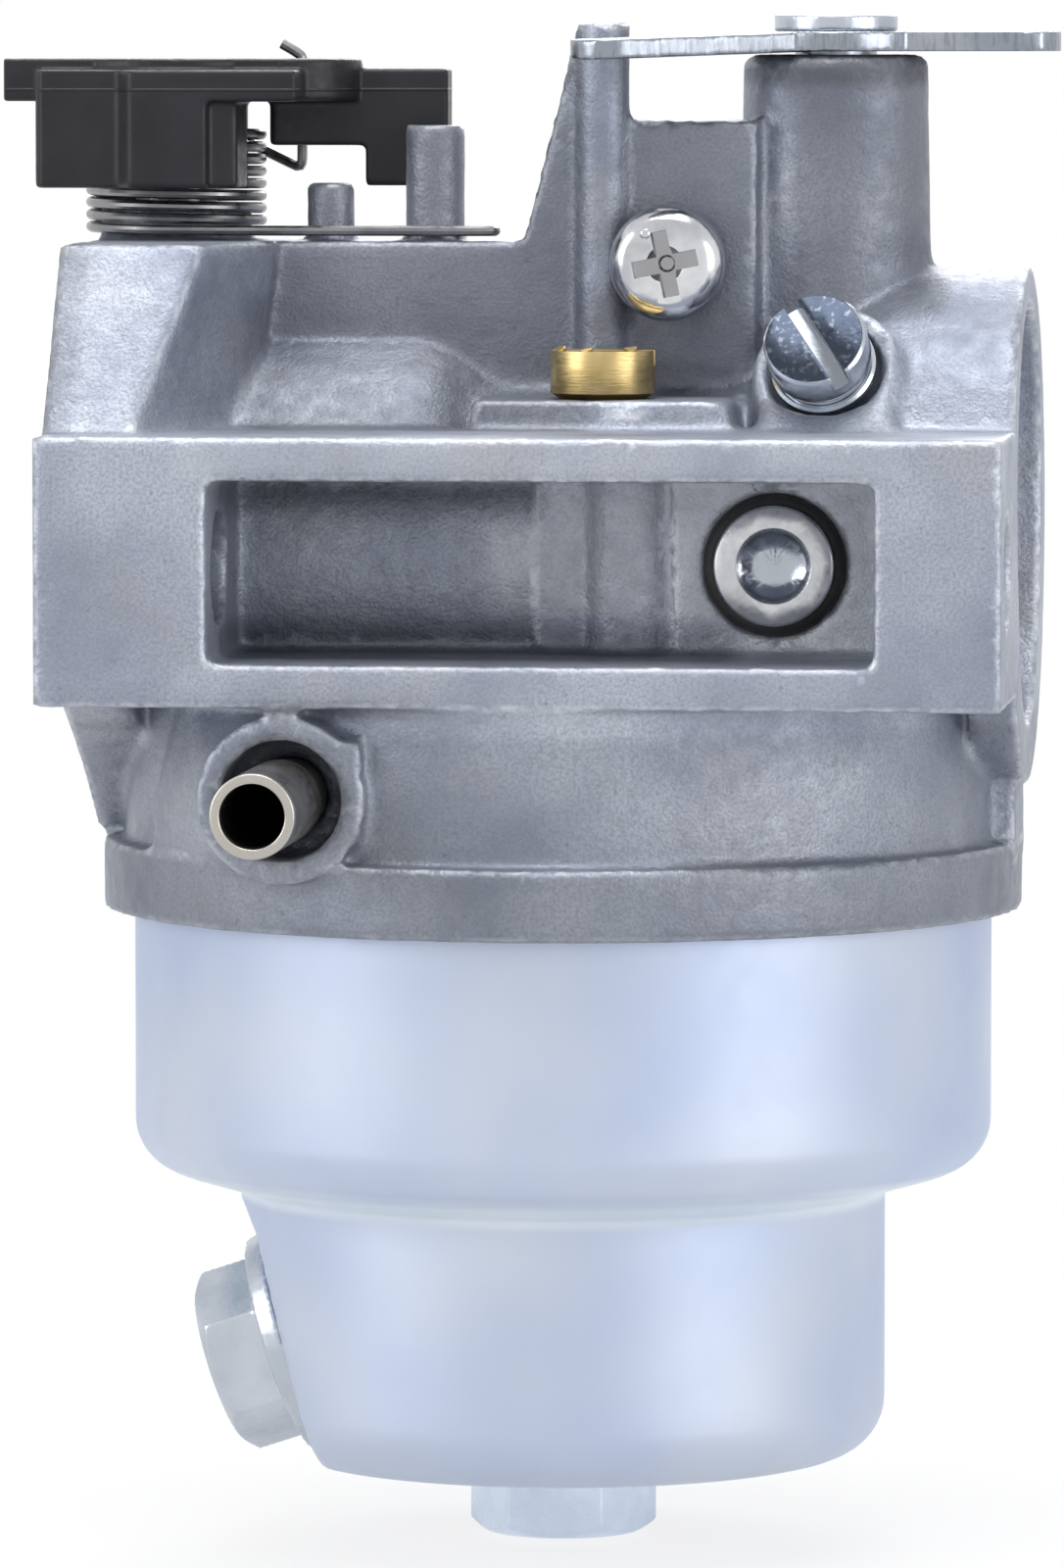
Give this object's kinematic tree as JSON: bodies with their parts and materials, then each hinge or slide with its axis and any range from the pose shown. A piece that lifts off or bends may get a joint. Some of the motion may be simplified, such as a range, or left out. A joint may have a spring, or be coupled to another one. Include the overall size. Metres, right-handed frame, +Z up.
{
  "type": "carburetor",
  "caption": "Float-bowl carburetor for a small four-stroke engine, with throttle and choke levers, stud-mount die-cast body and steel bowl.",
  "frame": {"origin": "centre of the air duct on the engine face, midway between the two stud holes", "axes": "+X along the duct from the engine face to the air-filter face, -Y towards the fuel pipe side, +Z up, away from the float bowl"},
  "size_m": [0.0661, 0.0666, 0.0931],
  "materials": {
    "cast_body": "as die-cast, satin with rough parting lines",
    "bowl_steel": "zinc plated, pale blue, satin",
    "rubber_black": "matt",
    "seal_rubber": "matt",
    "zinc_steel": "zinc plated",
    "bright_zinc": "bright zinc plated",
    "chrome_screw": "bright",
    "copper_washer": "soft copper, dull",
    "aluminium_washer": "soft, dull",
    "brass": "machined",
    "nickel_pipe": "nickel plated, dull along the side",
    "float_plastic": "moulded",
    "lever_plastic": "glass-filled, satin",
    "plug_aluminium": "machined, polished dimple",
    "shaft_steel": "ground",
    "lever_steel": "zinc plated stamping",
    "spring_steel": "drawn wire"
  },
  "bodies": {
    "body": {"main_body": "cast_body", "float_bowl": "bowl_steel", "bowl_gasket": "rubber_black", "bowl_bolt": "zinc_steel", "bowl_bolt_washer": "copper_washer", "drain_bolt": "bright_zinc", "drain_washer": "aluminium_washer", "drain_bush": "brass", "fuel_inlet_pipe": "nickel_pipe", "float_pin": "zinc_steel", "needle_seat": "brass", "main_nozzle": "brass", "main_jet": "brass", "pilot_jet": "brass", "pilot_jet_oring": "rubber_black", "jet_retaining_screw": "chrome_screw", "air_jets": "brass", "side_plug": "plug_aluminium", "side_plug_oring": "rubber_black", "throttle_spring": "spring_steel", "throttle_shaft_seal": "rubber_black", "choke_shaft_seal": "rubber_black"},
    "throttle": {"throttle_shaft": "shaft_steel", "throttle_plate": "brass", "throttle_plate_screws": "zinc_steel", "throttle_lever": "lever_plastic"},
    "choke": {"choke_shaft": "lever_steel", "choke_plate": "brass", "choke_plate_screws": "zinc_steel", "choke_lever": "lever_steel"},
    "float_arm": {"float": "float_plastic"},
    "needle": {"float_needle": "brass", "needle_tip": "seal_rubber", "needle_clip": "spring_steel"},
    "mixture_seal": {"mixture_screw_oring": "rubber_black"},
    "mixture_screw": {"mixture_screw": "bright_zinc"}
  },
  "joints": [
    {"name": "throttle_turn", "type": "hinge", "parent": "body", "child": "throttle", "pos_m": [0.0047, 0, 0], "axis": [0, 0, 1], "range_deg": [0, 75], "stiffness_Nm_per_rad": 0.02, "springref_deg": -34.38, "deforming": ["throttle_spring"]},
    {"name": "choke_turn", "type": "hinge", "parent": "body", "child": "choke", "pos_m": [0.0453, 0, 0], "axis": [0, 0, 1], "range_deg": [0, 75]},
    {"name": "float_pivot", "type": "hinge", "parent": "body", "child": "float_arm", "pos_m": [0.008, 0, -0.0206], "axis": [0, -1, 0], "range_deg": [0, 7]},
    {"name": "needle_slide", "type": "slide", "parent": "body", "child": "needle", "axis": [0, 0, 1], "range_m": [0, 0.000826]},
    {"name": "mixture_screw_travel", "type": "slide", "parent": "body", "child": "mixture_seal", "axis": [-0.1005, -0.8557, 0.5075], "range_m": [-0.0007, 0.0014]},
    {"name": "mixture_screw_turn", "type": "hinge", "parent": "mixture_seal", "child": "mixture_screw", "pos_m": [0.04575, -0.0124, 0.01135], "axis": [-0.1005, -0.8557, 0.5075], "range_deg": [-364, 725]}
  ],
  "couplings": [
    {"joint": "needle_slide", "follows": "float_pivot", "m_per_rad": 0.0066},
    {"joint": "mixture_screw_turn", "follows": "mixture_screw_travel", "rad_per_m": 8976}
  ]
}
